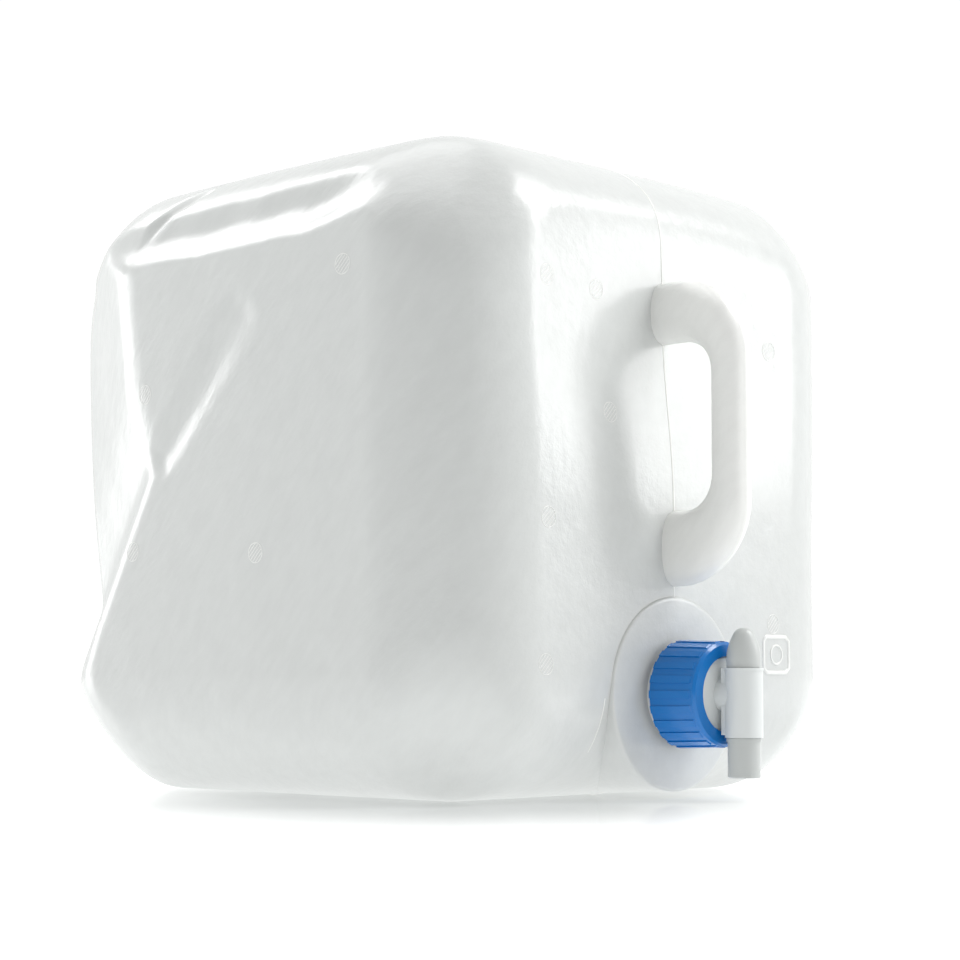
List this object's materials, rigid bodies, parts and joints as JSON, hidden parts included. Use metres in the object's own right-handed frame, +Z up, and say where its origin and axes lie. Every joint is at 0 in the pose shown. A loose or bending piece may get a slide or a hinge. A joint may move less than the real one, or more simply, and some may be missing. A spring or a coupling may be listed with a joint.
{
  "type": "collapsible water cube with plug tap",
  "caption": "Soft translucent cube for carrying water, with a loop handle, a threaded neck low on its front, and a plug tap held on by a ribbed screw collar.",
  "frame": {"origin": "centre of the face that the can stands on", "axes": "+Z up, -Y out of the face with the handle and the tap, +X to that face's right as a person looks at it"},
  "size_m": [0.286, 0.3337, 0.29],
  "materials": {
    "can_skin": "satin translucent film with a fine grain",
    "collar_blue": "gloss, slightly translucent",
    "tap_white": "satin",
    "plug_white": "satin",
    "seal_rubber": "matte"
  },
  "bodies": {
    "container": {"container_shell": "can_skin", "threaded_neck": "can_skin", "carry_handle": "can_skin"},
    "tap": {"tap_body": "tap_white", "neck_washer": "seal_rubber"},
    "collar": {"screw_collar": "collar_blue"},
    "plug": {"tap_plug": "plug_white"}
  },
  "joints": [
    {"name": "tap_slide", "type": "slide", "parent": "container", "child": "tap", "axis": [0, -1, 0], "range_m": [0, 0.024]},
    {"name": "collar_turn", "type": "hinge", "parent": "tap", "child": "collar", "pos_m": [0, -0.16, 0.047], "axis": [0, -1, 0], "range_deg": [0, 1728]},
    {"name": "plug_turn", "type": "hinge", "parent": "tap", "child": "plug", "pos_m": [0, -0.182, 0.047], "axis": [0, 0, 1], "range_deg": [0, 90]}
  ],
  "couplings": [
    {"joint": "tap_slide", "follows": "collar_turn", "m_per_rad": 0.00079577}
  ]
}
